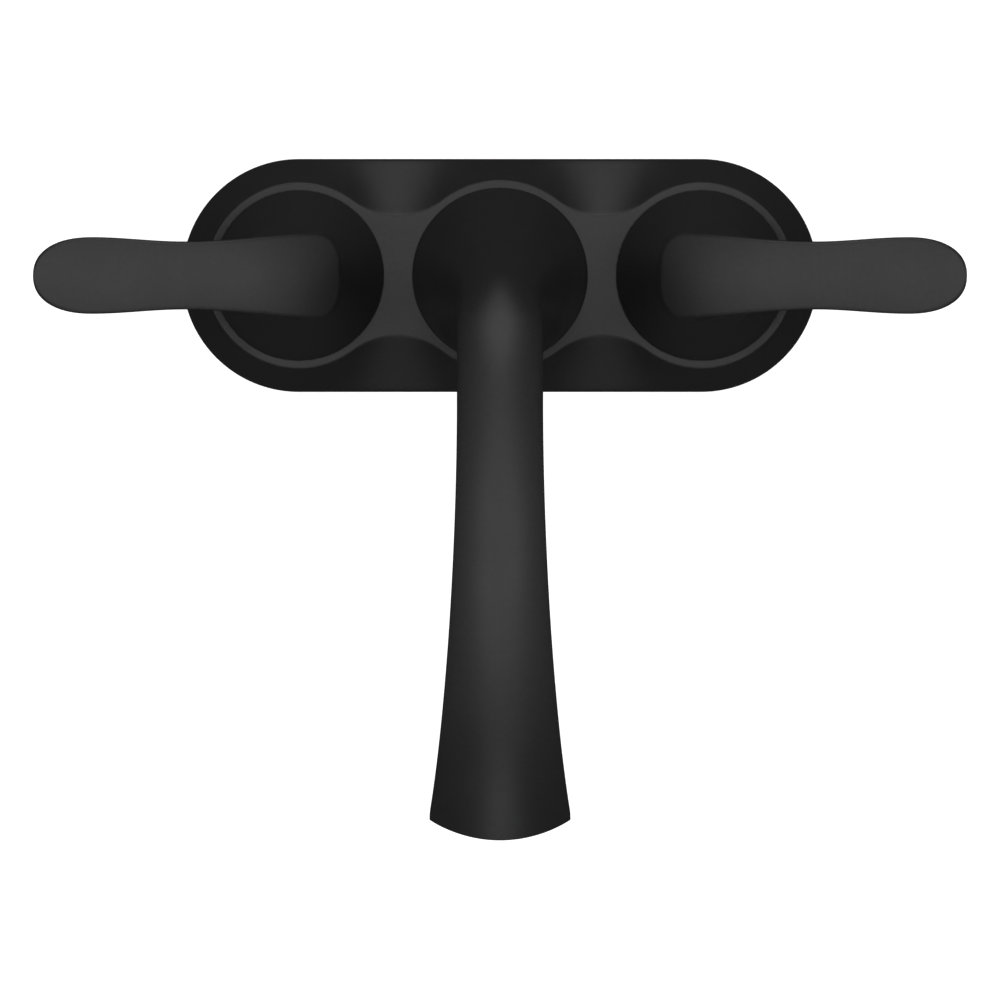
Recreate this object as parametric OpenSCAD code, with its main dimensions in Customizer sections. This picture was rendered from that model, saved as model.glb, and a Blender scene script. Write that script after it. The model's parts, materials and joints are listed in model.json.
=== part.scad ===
// Two-handle basin faucet for a deck with holes 4 inches apart: a centreset in matte black.
// Units are millimetres. +Z is up from the deck, +X is to the user's right, and the spout
// points along -Y, towards the user. The origin is on the deck, midway between the handles.

/* [Layout] */
// Distance between the two handle axes
handle_spacing = 101.6; // [101:0.2:104]
// Thickness of the deck between the gasket and the washers
deck_t = 25; // [15:1:28]

/* [Base plate] */
// Radius of the plate's round ends
plate_r = 29.4; // [29:0.1:31]
// Height of the plate's flat top above the deck
plate_top = 16.5; // [16.5:0.1:17]
// Height of the upright rim round the plate's foot
rim_h = 3; // [2:0.5:4]
// Thickness of the plate's walls
plate_wall = 2.5; // [2:0.1:2.5]
// Radius of the flat ring round the spout
centre_ring_r = 24; // [23.5:0.1:24.5]
// Radius of the flat ring round each handle
side_ring_r = 23.4; // [23:0.1:24]
// Half the depth of the flat top at its two waists
waist_w = 15.15; // [14.5:0.05:16.5]
// Thickness of the gasket under the plate
gasket_t = 1.5; // [1:0.1:1.5]

/* [Handles] */
// Radius of a handle's bell at its foot
bell_r = 21.7; // [21.5:0.1:22]
// Radius of a handle's bell at its top
bell_top_r = 11; // [11:0.1:12]
// Height of a handle's bell
bell_h = 27; // [27:0.1:28]
// Gap between a bell and the plate
bell_gap = 0.4; // [0.3:0.1:0.5]
// Distance from a handle's axis to the tip of its lever
lever_reach = 67.1; // [62:0.1:75]
// Distance from a handle's axis back to the heel of its lever
lever_heel = 10.6; // [10.4:0.1:11]
// Height of the lever's flat top above the deck
lever_top = 62; // [61:0.5:65]
// Half the width of the lever over the bell
lever_root_w = 11; // [10.5:0.1:11.5]
// Half the width of the lever at its narrowest
lever_waist_w = 8.5; // [8:0.1:9]
// Half the width of the lever's paddle end
paddle_w = 9.7; // [9:0.1:11]

/* [Spout] */
// Radius of the spout's foot
foot_r = 22.15; // [22:0.05:22.5]
// Half the width of the spout's neck
neck_w = 10.9; // [10.5:0.1:11.5]
// Half the width of the spout's mouth
mouth_w = 17.7; // [17:0.05:19]
// Distance from the line of the handles forward to the mouth's upper lip
spout_reach = 142.7; // [140:0.1:150]
// Height of the spout's crest above the deck
crest_h = 107; // [105:0.5:112]
// Height of the mouth's upper lip above the deck
lip_h = 88; // [86:0.5:90]
// Thickness of the spout's walls
spout_wall = 2.8; // [2.5:0.1:3]

/* [Water side] */
// Outer radius of the threaded shanks
shank_r = 10.4; // [10.2:0.1:10.5]
// Length of a shank below the deck
shank_l = 52; // [50:1:60]
// Radius of the hole up a shank
shank_bore_r = 6.5; // [6:0.1:7]
// Outer radius of the two cross tubes
tube_r = 4; // [3.8:0.1:4]
// Outer radius of the tube inside the spout
waterway_r = 5; // [4.8:0.1:5]
// Radius of the hole that holds the aerator
aerator_r = 8.2; // [8:0.1:8.2]
// Depth of the hole that holds the aerator
aerator_depth = 8; // [8:0.1:8.3]

/* [Hidden] */
$fn = 64;
HOT = -1;
COLD = 1;
BLACK = [0.07, 0.07, 0.07];
BRASS = [0.78, 0.62, 0.32];
COPPER = [0.72, 0.45, 0.32];
STEEL = [0.62, 0.63, 0.65];
RUBBER = [0.16, 0.16, 0.17];
CERAMIC = [0.92, 0.91, 0.88];
NYLON = [0.82, 0.82, 0.78];
PLASTIC = [0.3, 0.32, 0.34];

cut = 1;                        // how far a cutting shape runs past a face
slide = 0.05;                   // radial clearance of a sliding fit
hub_x = handle_spacing / 2;
ceiling = plate_top - plate_wall;

// Heights inside a handle's valve
body_foot = 2;                  // underside of the valve body's wide part
chamber_floor = 5;
disc_floor = 8;                 // underside of the fixed ceramic disc
disc_t = 3;
window_top = 18;                // top of the ring-shaped space round the cartridge
valve_top = 27;                 // rim of the valve body's neck
flange_t = 1.2;                 // flange of the cartridge, under the bonnet nut
cartridge_top = 33;
stem_top = 41.5;

// Radii inside a handle's valve
body_r = 15;
valve_neck_r = 12.5;
chamber_r = 9;
cartridge_r = chamber_r - 0.1;
disc_r = 6.3;
stem_r = 4;
insert_r = 8.5;
seat_r = 4.5;

// Cross tubes and mixing block
tube_z = 8.5;
tube_wall = 1;
port_r = 3;
socket_depth = 4;
block_r = 7.6;
block_x = 14;
block_arm_r = 5.4;
block_floor = 3;
block_top = 22;
waterway_foot = 12;
seal_heights = [15, 18.5];

// Screws that hold the spout down on the plate
screw_y = 12;
screw_r = 2.5;
boss_r = 4.2;
boss_h = 12.5;

bell_foot = plate_top + bell_gap;
bell_wall = 2.3;
bell_taper = (bell_r - bell_top_r) / bell_h;
insert_foot = cartridge_top + 0.6;
insert_top = 42.4;
set_screw_z = 36.5;
set_screw_r = 2.5;
glide_r = 20.2;

// ---- Curves and skins ----

function lerp(a, b, t) = a + (b - a) * t;
function ease(t) = let (u = min(max(t, 0), 1)) u * u * (3 - 2 * u);
function signed_power(v, e) = sign(v) * pow(abs(v), e);
function bezier(p, t) =
    pow(1 - t, 3) * p[0] + 3 * pow(1 - t, 2) * t * p[1]
    + 3 * (1 - t) * t * t * p[2] + t * t * t * p[3];
function straight(a, b) = [a, lerp(a, b, 1 / 3), lerp(a, b, 2 / 3), b];

// The two triangles between each pair of neighbouring points on rings i and i + 1
function band(n, first, second) = [
    for (j = [0:n - 1])
        let (k = (j + 1) % n)
        each [
            [first + j, first + k, second + k],
            [first + j, second + k, second + j]
        ]
];

// A closed solid through a stack of flat rings, each an equal list of points
module loft(rings) {
    n = len(rings[0]);
    m = len(rings);
    sides = [for (i = [0:m - 2]) each band(n, i * n, (i + 1) * n)];
    foot = [for (j = [n - 1:-1:0]) j];
    head = [for (j = [0:n - 1]) (m - 1) * n + j];
    polyhedron([for (r = rings) each r], concat([foot], sides, [head]));
}

// A pipe between an outer and an inner stack of rings, closed at both ends by a flat rim
module pipe_loft(outer, inner) {
    n = len(outer[0]);
    m = len(outer);
    shift = n * m;
    outside = [for (i = [0:m - 2]) each band(n, i * n, (i + 1) * n)];
    inside = [for (i = [0:m - 2]) each band(n, shift + (i + 1) * n, shift + i * n)];
    foot = band(n, shift, 0);
    head = band(n, (m - 1) * n, shift + (m - 1) * n);
    polyhedron(
        concat([for (r = outer) each r], [for (r = inner) each r]),
        concat(outside, inside, foot, head)
    );
}

// Flat strips across a ring of n points that is symmetric about its point number tip
function strips(n, tip, first) = [
    for (i = [0:n / 2 - 1])
        let (
            a = first + (tip + i) % n,
            b = first + (tip + i + 1) % n,
            c = first + (tip - i - 1 + n) % n,
            d = first + (tip - i + n) % n
        )
        each [if (b != c) [a, b, c], if (a != d) [a, c, d]]
];

// An upside-down cup: the two stacks are joined by a flat rim at the foot, and each has a flat head
module cup_loft(outer, inner, tip) {
    n = len(outer[0]);
    m = len(outer);
    shift = n * m;
    outside = [for (i = [0:m - 2]) each band(n, i * n, (i + 1) * n)];
    inside = [for (i = [0:m - 2]) each band(n, shift + (i + 1) * n, shift + i * n)];
    foot = band(n, shift, 0);
    head = strips(n, tip, (m - 1) * n);
    lid = [for (t = strips(n, tip, shift + (m - 1) * n)) [t[2], t[1], t[0]]];
    polyhedron(
        concat([for (r = outer) each r], [for (r = inner) each r]),
        concat(outside, inside, foot, head, lid)
    );
}

module ring(r_out, r_in, z, h) {
    translate([0, 0, z])
        difference() {
            cylinder(h = h, r = r_out);
            translate([0, 0, -cut])
                cylinder(h = h + 2 * cut, r = r_in);
        }
}

// A rod along -X from the axis, at height z
module rod_inward(from, to, r, z) {
    translate([-from, 0, z])
        rotate([0, -90, 0])
            cylinder(h = to - from, r = r);
}

// Puts a valve's pieces on their own axis, with local +X pointing outwards
module at_handle(side) {
    translate([side * hub_x, 0, 0])
        rotate([0, 0, side == COLD ? 0 : 180])
            children();
}

// ---- Base plate ----

// Arcs that round the two waists, tangent to the centre ring and to a side ring
waist_a = (pow(hub_x, 2) + pow(centre_ring_r, 2) - pow(side_ring_r, 2)) / (2 * hub_x);
waist_b = (centre_ring_r - side_ring_r) / hub_x;
waist_q = 2 * (waist_a * waist_b + waist_w - centre_ring_r);
waist_c = pow(waist_a, 2) + pow(waist_w, 2) - pow(centre_ring_r, 2);
waist_r = 2 * waist_c / (-waist_q + sqrt(pow(waist_q, 2) - 4 * pow(waist_b, 2) * waist_c));
waist_x = waist_a + waist_b * waist_r;
waist_y = waist_r + waist_w;

// Half the depth of the flat top at x, drawn in by inset
function flat_depth(x, inset) =
    let (
        u = abs(x),
        ring_r = centre_ring_r - inset,
        end_r = side_ring_r - inset,
        arc_r = waist_r + inset,
        from = waist_x * centre_ring_r / (centre_ring_r + waist_r),
        to = hub_x - (hub_x - waist_x) * side_ring_r / (side_ring_r + waist_r)
    )
    u < from ? sqrt(pow(ring_r, 2) - u * u)
    : u < to ? waist_y - sqrt(pow(arc_r, 2) - pow(u - waist_x, 2))
    : sqrt(pow(end_r, 2) - pow(u - hub_x, 2));

plate_steps = 36;               // steps along each long side
end_steps = 24;                 // steps round each end

// A ring round the plate: flat = 0 is its pill-shaped outline, flat = 1 the edge of its flat top
function plate_ring(z, inset, flat) =
    let (
        r = lerp(plate_r, side_ring_r, flat) - inset,
        long_side = [for (i = [0:plate_steps - 1])
            let (x = hub_x - 2 * hub_x * i / plate_steps)
            [x, lerp(plate_r - inset, flat_depth(x, inset), flat)]],
        end = [for (i = [0:end_steps - 1])
            let (a = 90 + 180 * i / end_steps)
            [-hub_x + r * cos(a), r * sin(a)]]
    )
    [for (turn = [1, -1], p = concat(long_side, end)) [turn * p[0], -turn * p[1], z]];

module base_plate() {
    rim_top = gasket_t + rim_h;
    color(BLACK)
        difference() {
            cup_loft(
                [plate_ring(gasket_t, 0, 0), plate_ring(rim_top, 0, 0), plate_ring(plate_top, 0, 1)],
                [
                    plate_ring(gasket_t, plate_wall, 0),
                    plate_ring(rim_top - 1, plate_wall, 0),
                    plate_ring(ceiling, plate_wall, 1)
                ],
                plate_steps + end_steps / 2
            );
            for (side = [HOT, COLD])
                translate([side * hub_x, 0, ceiling - cut])
                    cylinder(h = plate_wall + 2 * cut, r = valve_neck_r + 0.3);
            translate([0, 0, ceiling - cut])
                cylinder(h = plate_wall + 2 * cut, r = block_r + 0.2);
            for (y = [-screw_y, screw_y])
                translate([0, y, ceiling - cut])
                    cylinder(h = plate_wall + 2 * cut, r = screw_r + 0.2);
        }
}

// A flat sheet over the plate's whole underside, with a round hole for each valve body
module deck_gasket() {
    gasket_r = plate_r - 0.6;
    color(RUBBER)
        difference() {
            union() {
                translate([-hub_x, -gasket_r, 0])
                    cube([handle_spacing, 2 * gasket_r, gasket_t]);
                for (side = [HOT, COLD])
                    translate([side * hub_x, 0, 0])
                        cylinder(h = gasket_t, r = gasket_r);
            }
            for (side = [HOT, COLD])
                translate([side * hub_x, 0, -cut])
                    cylinder(h = gasket_t + 2 * cut, r = shank_r + 0.6);
        }
}

// ---- Water side, under the plate ----

module valve_body() {
    relief_z = -deck_t - 15;
    color(BRASS)
        difference() {
            union() {
                translate([0, 0, -shank_l])
                    cylinder(h = shank_l + body_foot, r = shank_r);
                translate([0, 0, body_foot])
                    cylinder(h = ceiling - body_foot, r = body_r);
                translate([0, 0, ceiling - cut])
                    cylinder(h = valve_top - ceiling + cut, r = valve_neck_r);
            }
            translate([0, 0, -shank_l - cut])
                cylinder(h = shank_l + cut + 2.5, r = shank_bore_r);
            translate([0, 0, 0])
                cylinder(h = chamber_floor + cut, r = seat_r);
            translate([0, 0, chamber_floor])
                cylinder(h = valve_top, r = chamber_r);
            rod_inward(0, body_r + cut, port_r, tube_z);
            rod_inward(body_r - socket_depth, body_r + cut, tube_r + slide, tube_z);
            ring(shank_r + cut, shank_r - 0.8, relief_z, 1.5);
        }
}

module cross_tube() {
    near = body_r - socket_depth;
    far = hub_x - block_x + socket_depth;
    color(COPPER)
        difference() {
            rod_inward(near, far, tube_r, tube_z);
            rod_inward(near - cut, far + cut, tube_r - tube_wall, tube_z);
        }
}

module mixing_block() {
    color(BRASS)
        difference() {
            union() {
                translate([0, 0, block_floor])
                    cylinder(h = block_top - block_floor, r = block_r);
                translate([block_x, 0, 0])
                    rod_inward(0, 2 * block_x, block_arm_r, tube_z);
            }
            translate([0, 0, block_floor + 2])
                cylinder(h = block_top, r = waterway_r - 1);
            translate([0, 0, waterway_foot])
                cylinder(h = block_top, r = waterway_r + slide);
            for (z = seal_heights)
                translate([0, 0, z - 0.9])
                    cylinder(h = 1.8, r = waterway_r + 1.2);
            translate([block_x, 0, 0])
                rod_inward(-cut, 2 * block_x + cut, port_r, tube_z);
            for (side = [0, 180])
                rotate([0, 0, side])
                    rod_inward(block_x - socket_depth, block_x + cut, tube_r + slide, tube_z);
        }
}

module lock_ring() {
    notch = 3;
    color(BRASS)
        difference() {
            ring(16.4, valve_neck_r + slide, plate_top, 3);
            for (a = [0:60:300])
                rotate([0, 0, a])
                    translate([15.2, -notch / 2, plate_top - cut])
                        cube([notch, notch, 3 + 2 * cut]);
        }
}

module deck_washer() {
    color(STEEL)
        ring(20, shank_r + 0.4, -deck_t - 2, 2);
}

module mounting_nut() {
    top = -deck_t - 2;
    wing = [6, 3, 8];
    color(PLASTIC)
        difference() {
            union() {
                translate([0, 0, top - 3])
                    cylinder(h = 3, r = 18);
                translate([0, 0, top - 11])
                    cylinder(h = 9, r = 14);
                for (a = [45:90:315])
                    rotate([0, 0, a])
                        translate([13, -wing[1] / 2, top - 11])
                            cube(wing);
            }
            translate([0, 0, top - 11 - cut])
                cylinder(h = 11 + 2 * cut, r = shank_r + slide);
        }
}

// ---- Cartridge ----

module seat_seal() {
    color(RUBBER)
        ring(7.4, seat_r, chamber_floor, disc_floor - chamber_floor);
}

module cartridge_shell() {
    color(BRASS)
        difference() {
            union() {
                translate([0, 0, disc_floor])
                    cylinder(h = cartridge_top - disc_floor, r = disc_r + 0.1 + 1.2);
                translate([0, 0, window_top])
                    cylinder(h = valve_top - window_top, r = cartridge_r);
                translate([0, 0, valve_top])
                    cylinder(h = flange_t, r = 11.5);
            }
            translate([0, 0, disc_floor - cut])
                cylinder(h = 10.15, r = disc_r + 0.1);
            translate([0, 0, disc_floor])
                cylinder(h = cartridge_top, r = stem_r + slide);
            translate([-10, -3, disc_floor + disc_t + 0.5])
                cube([20, 6, 5]);
            ring(cartridge_r + cut, cartridge_r - 0.9, 21.5, 1.8);
            translate([0, 0, valve_top + flange_t])
                difference() {
                    cylinder(h = 10, r = 10);
                    cylinder(h = 10, r = 6.6);
                }
        }
}

module cartridge_seal() {
    color(RUBBER)
        translate([0, 0, 22.4])
            rotate_extrude()
                translate([cartridge_r - 0.38, 0])
                    circle(r = 0.44);
}

// A ceramic disc with two kidney-shaped ports, each made of overlapping round holes
module disc(z, r, t) {
    color(CERAMIC)
        difference() {
            translate([0, 0, z])
                cylinder(h = t, r = r);
            for (a = [60, 90, 120, 240, 270, 300])
                rotate([0, 0, a])
                    translate([3.4, 0, z - cut])
                        cylinder(h = t + 2 * cut, r = 1.3);
        }
}

module fixed_disc() {
    disc(disc_floor, disc_r + 0.05, disc_t);
}

module moving_disc() {
    disc(disc_floor + disc_t + 0.05, disc_r, disc_t - 0.05);
}

module bonnet_nut() {
    lip = valve_top + flange_t;
    color(BRASS)
        difference() {
            union() {
                translate([0, 0, 20])
                    cylinder(h = valve_top - 20, r = 14.6, $fn = 6);
                translate([0, 0, 20])
                    cylinder(h = lip + 1.5 - 20, r = 13.4);
            }
            translate([0, 0, 20 - cut])
                cylinder(h = lip - 20 + cut, r = valve_neck_r + slide);
            translate([0, 0, lip - cut])
                cylinder(h = 5, r = 7);
        }
}

module stem() {
    driver_z = disc_floor + 2 * disc_t + 0.05;
    color(BRASS)
        difference() {
            union() {
                translate([0, 0, driver_z])
                    cylinder(h = 3, r = disc_r);
                translate([0, 0, driver_z])
                    cylinder(h = stem_top - driver_z, r = stem_r);
            }
            ring(stem_r + cut, stem_r - 0.9, 24, 1.6);
            for (a = [0:30:330])
                rotate([0, 0, a])
                    translate([stem_r, 0, 36])
                        cylinder(h = 10, r = 0.4);
        }
}

module stem_seal() {
    color(RUBBER)
        translate([0, 0, 24.8])
            rotate_extrude()
                translate([stem_r - 0.42, 0])
                    circle(r = 0.42);
}

// ---- Handle ----

waist_at = 29;                  // where along the lever it is narrowest
paddle_at = 52;                 // where its paddle is widest
heel_corner = 5;                // corner radius of the lever's heel
lever_crown = 1.8;              // how much the lever's top is crowned
paddle_t = 6;                   // thickness of the paddle
lever_bed = 37;                 // underside of the lever where it is buried in the bell

top_curve = [
    [-lever_heel, lever_top - 15], [-3.5, lever_top - 8], [13, lever_top - 0.5], [34, lever_top]
];
under_curve = [[9.5, lever_bed], [15, 46], [22, lever_top - 8], [40, lever_top - paddle_t - 0.5]];

// The curve's parameter at x, by halving the interval
function parameter_at(p, x, low = 0, high = 1, n = 18) =
    n == 0 ? (low + high) / 2
    : let (mid = (low + high) / 2)
        bezier(p, mid)[0] < x ? parameter_at(p, x, mid, high, n - 1)
        : parameter_at(p, x, low, mid, n - 1);
function height_at(p, x) =
    x <= p[0][0] ? p[0][1]
    : x >= p[3][0] ? p[3][1]
    : bezier(p, parameter_at(p, x))[1];

function lever_half_width(x) =
    let (heel_centre = heel_corner - lever_heel, tip = (x - paddle_at) / (lever_reach - paddle_at))
    x < heel_centre
        ? lever_root_w - heel_corner + sqrt(max(0, pow(heel_corner, 2) - pow(heel_centre - x, 2)))
    : x < waist_at
        ? lerp(lever_root_w, lever_waist_w, ease((x - heel_centre) / (waist_at - heel_centre)))
    : x < paddle_at
        ? lerp(lever_waist_w, paddle_w, ease((x - waist_at) / (paddle_at - waist_at)))
    : paddle_w * pow(max(0, 1 - pow(tip, 2.3)), 1 / 2.3);

// Closer together where the outline turns quickly, at the heel and the tip
lever_stations = concat(
    [for (i = [0:5]) -lever_heel + heel_corner * (1 - cos(90 * i / 5))],
    [for (i = [1:18]) lerp(heel_corner - lever_heel, paddle_at, i / 18)],
    [for (i = [1:9]) lerp(paddle_at, lever_reach - 0.05, sin(90 * i / 9))]
);
lever_sides = 32;

function lever_ring(x) =
    let (
        w = lever_half_width(x),
        thin = pow(min(1, w / paddle_w), 2),
        tip = x > paddle_at ? thin : 1,
        top = height_at(top_curve, x) - (1 - tip) * lever_crown * 0.6,
        under = height_at(under_curve, x) + (1 - tip) * (paddle_t - 2 * lever_crown),
        belt = top - lever_crown * tip,
        square = lerp(0.28, 0.9, ease((x - 8) / 20))
    )
    [for (j = [0:lever_sides - 1])
        let (
            a = 360 * j / lever_sides,
            above = cos(a) >= 0,
            v = signed_power(cos(a), above ? 0.9 : square)
        )
        [
            x,
            w * signed_power(sin(a), above ? 0.9 : square),
            belt + v * (above ? top - belt : belt - under)
        ]];

module handle() {
    cavity_h = insert_foot - bell_foot - 0.3;
    color(BLACK)
        difference() {
            union() {
                translate([0, 0, bell_foot])
                    cylinder(h = bell_h, r1 = bell_r, r2 = bell_top_r);
                loft([for (x = lever_stations) lever_ring(x)]);
            }
            translate([0, 0, bell_foot])
                cylinder(
                    h = cavity_h,
                    r1 = bell_r - bell_wall,
                    r2 = bell_r - bell_wall - bell_taper * cavity_h
                );
            translate([0, 0, bell_foot - cut])
                cylinder(h = cut + 1.5, r = glide_r);
            translate([0, 0, bell_foot])
                cylinder(h = insert_top + 0.1 - bell_foot, r = insert_r);
            rod_outward(insert_r - 1, bell_r, set_screw_r + slide, set_screw_z);
        }
}

module rod_outward(from, to, r, z) {
    translate([from, 0, z])
        rotate([0, 90, 0])
            cylinder(h = to - from, r = r);
}

module handle_insert() {
    color(NYLON)
        difference() {
            translate([0, 0, insert_foot])
                cylinder(h = insert_top - insert_foot, r = insert_r - 0.05);
            translate([0, 0, insert_foot - cut])
                cylinder(h = stem_top + 0.2 - insert_foot + cut, r = stem_r);
            rod_outward(0, insert_r + cut, set_screw_r, set_screw_z);
        }
}

module set_screw() {
    color(STEEL)
        difference() {
            rod_outward(stem_r + 0.2, 12, set_screw_r - 0.05, set_screw_z);
            translate([9, 0, set_screw_z])
                rotate([0, 90, 0])
                    cylinder(h = 5, r = 1.45, $fn = 6);
        }
}

module glide_ring() {
    color(NYLON)
        ring(glide_r - 0.05, 17.6, plate_top + 0.1, 1.7);
}

// ---- Spout ----
// Its side outline is drawn as [forward, up] points, on a top rail from the back of the foot over
// the crest to the upper lip, and an under rail from the front of the foot to the lower lip.

shoulder = [-1.5, 78];
armpit = [17, 60];
crest_at = 70;
upper_lip = [spout_reach, lip_h];
lower_lip = [spout_reach - 16.7, lip_h - 16];
arm_t = 19.5;                   // thickness of the arm at its crest
flare_at = 31.5;                // where the arm starts to widen
arch = 0.42;                    // how high the arm's top arches, as a share of its half width

top_rail = [
    straight([-foot_r, plate_top], shoulder),
    [shoulder, [4, crest_h - 14], [34, crest_h], [crest_at, crest_h]],
    [[crest_at, crest_h], [98, crest_h], [121.7, lip_h + 13.6], upper_lip]
];
under_rail = [
    straight([foot_r, plate_top], armpit),
    [armpit, [15.4, 73.9], [46, crest_h - arm_t], [crest_at + 2, crest_h - arm_t]],
    [[crest_at + 2, crest_h - arm_t], [92, crest_h - arm_t], [109, lip_h - 7], lower_lip]
];

function rail_point(rail, s) =
    let (i = min(floor(s), len(rail) - 1))
    bezier(rail[i], s - i);
function spout_middle(s) = (rail_point(top_rail, s) + rail_point(under_rail, s)) / 2;

function flare(u) = 0.92 * pow(u, 1.9) + 0.08 * pow(u, 8);
function spout_half_width(s, forward) =
    s < 1 ? lerp(neck_w, foot_r, pow(1 - s, 1.3))
    : lerp(neck_w, mouth_w, flare(max(0, forward - flare_at) / (spout_reach - 6.2 - flare_at)));

spout_sides = 36;

// The section at s, from 0 at the foot to 3 at the mouth, drawn in by inset. It is an oval up to
// the neck, and on the arm a shallow arch over upright sides.
function spout_ring(s, inset) =
    let (
        top = rail_point(top_rail, s),
        under = rail_point(under_rail, s),
        span = norm(top - under),
        up = (top - under) / span,
        bend = ease((s - 1.05) / 0.3),
        arm = ease((s - 1.35) / 0.45),
        middle = (top + under) / 2,
        belt_down = lerp(span / 2, arch * spout_half_width(s, middle[0]), bend),
        belt = top - up * belt_down,
        w = spout_half_width(s, belt[0]) - inset
    )
    [for (j = [0:spout_sides - 1])
        let (
            a = 360 * j / spout_sides,
            above = cos(a) >= 0,
            half = above ? belt_down - inset * lerp(1, 0.8, arm) : span - belt_down - inset,
            p = belt + up * half * signed_power(cos(a), lerp(1, above ? 1.85 : 0.8, arm))
        )
        [w * signed_power(sin(a), above ? 1 : lerp(1, 0.8, arm)), -p[0], p[1]]];

// The hollow inside, which narrows to a round hole behind the aerator and on its axis
mouth_hole_r = 6;
function spout_hollow_ring(s) =
    let (
        middle = bore_middle(s),
        up = rail_point(top_rail, s) - rail_point(under_rail, s),
        u = up / norm(up),
        round = ease((s - 2.45) / 0.35),
        wide = spout_ring(s, spout_wall)
    )
    [for (j = [0:spout_sides - 1])
        let (
            a = 360 * j / spout_sides,
            p = middle + u * mouth_hole_r * cos(a)
        )
        lerp(wide[j], [mouth_hole_r * sin(a), -p[0], p[1]], round)];

spout_stations = concat(
    [for (i = [0:7]) i / 8],
    [for (i = [0:13]) 1 + i / 14],
    [for (i = [0:14]) 2 + i / 14]
);

// Puts the aerator's pieces at the mouth, with local +Z pointing out of it
mouth_slope = atan2(upper_lip[1] - lower_lip[1], upper_lip[0] - lower_lip[0]);
mouth_drop = 1;                 // how far the aerator sits below the middle of the mouth
mouth_middle = (upper_lip + lower_lip) / 2
    - mouth_drop * [cos(mouth_slope), sin(mouth_slope)];
outlet = [sin(mouth_slope), -cos(mouth_slope)];
module at_mouth() {
    translate([0, -mouth_middle[0], mouth_middle[1]])
        rotate([180 - mouth_slope, 0, 0])
            children();
}

// Where the aerator's axis crosses the section at s
function axis_point(s) =
    let (
        middle = spout_middle(s),
        up = rail_point(top_rail, s) - rail_point(under_rail, s),
        ahead = [up[1], -up[0]]
    )
    mouth_middle - outlet * ((mouth_middle - middle) * ahead) / (outlet * ahead);

// The middle of the spout, which runs onto the aerator's axis at the station bore_from
bore_from = 2.8;
function bore_middle(s) =
    s > bore_from ? axis_point(s)
    : spout_middle(s)
        + (axis_point(bore_from) - spout_middle(bore_from)) * ease((s - bore_from + 0.4) / 0.4);

module spout_body() {
    web = 3;
    color(BLACK)
        difference() {
            union() {
                pipe_loft(
                    [for (s = spout_stations) spout_ring(s, 0)],
                    [for (s = spout_stations) spout_hollow_ring(s)]
                );
                for (y = [-screw_y, screw_y])
                    translate([0, y, plate_top])
                        cylinder(h = boss_h, r = boss_r);
                translate([-web / 2, -19.5, plate_top])
                    cube([web, 19.5 - screw_y, boss_h]);
                translate([-web / 2, screw_y, plate_top])
                    cube([web, 16.8 - screw_y, boss_h]);
            }
            for (y = [-screw_y, screw_y])
                translate([0, y, plate_top - cut])
                    cylinder(h = boss_h, r = screw_r);
            at_mouth()
                translate([0, 0, -aerator_depth])
                    cylinder(h = aerator_depth + 3, r = aerator_r);
        }
}

module spout_screws() {
    color(STEEL)
        for (y = [-screw_y, screw_y])
            translate([0, y, 0])
                difference() {
                    union() {
                        translate([0, 0, ceiling - 3])
                            cylinder(h = 3, r = 3.8);
                        translate([0, 0, ceiling - 1])
                            cylinder(h = 12, r = screw_r - 0.05);
                    }
                    translate([0, 0, ceiling - 3 - cut])
                        cylinder(h = cut + 2, r = 2, $fn = 6);
                }
}

module spout_seals() {
    color(RUBBER)
        for (z = seal_heights)
            translate([0, 0, z])
                rotate_extrude()
                    translate([waterway_r + 0.6, 0])
                        circle(r = 0.56);
}

// The tube's middle line as [forward, up] points: up from the mixing block, along the middle of
// the spout, and on to the aerator's axis
waterway_path = concat(
    [[0, waterway_foot], [0, plate_top + 7]],
    [for (s = [0.35:0.2:1.75]) bore_middle(s)],
    [for (s = [1.95:0.1:2.75]) bore_middle(s)],
    [bore_middle(bore_from), mouth_middle - outlet * aerator_depth]
);
function tube_ring(path, i, r, sides) =
    let (
        before = path[max(i - 1, 0)],
        after = path[min(i + 1, len(path) - 1)],
        along = (after - before) / norm(after - before),
        across = [along[1], -along[0]]
    )
    [for (j = [0:sides - 1])
        let (a = 360 * j / sides, p = path[i] - across * r * cos(a))
        [r * sin(a), -p[0], p[1]]];

// Its lowest stretch is a true round tube, for the seals in the mixing block
module spout_waterway() {
    wall = 1;
    count = len(waterway_path);
    color(PLASTIC)
        union() {
            ring(waterway_r, waterway_r - wall, waterway_foot, plate_top + 8 - waterway_foot);
            pipe_loft(
                [for (i = [1:count - 1]) tube_ring(waterway_path, i, waterway_r, 24)],
                [for (i = [1:count - 1]) tube_ring(waterway_path, i, waterway_r - wall, 24)]
            );
        }
}

module outlet_adapter() {
    color(BRASS)
        at_mouth()
            translate([0, 0, -aerator_depth])
                difference() {
                    union() {
                        cylinder(h = 1, r = aerator_r - 0.1);
                        translate([0, 0, -3])
                            cylinder(h = 3, r = waterway_r - 1.3);
                    }
                    translate([0, 0, -3 - cut])
                        cylinder(h = 4 + 2 * cut, r = 2.8);
                }
}

module aerator_gasket() {
    color(RUBBER)
        at_mouth()
            ring(aerator_r - 0.2, 4.5, 1 - aerator_depth, 0.8);
}

module aerator_housing() {
    foot = 1.8 - aerator_depth;
    color(BLACK)
        at_mouth()
            difference() {
                ring(aerator_r - 0.05, 7, foot, 5.8);
                for (a = [0, 90])
                    rotate([0, 0, a])
                        translate([-aerator_r, -0.8, foot + 4.8])
                            cube([2 * aerator_r, 1.6, 2]);
            }
}

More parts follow.
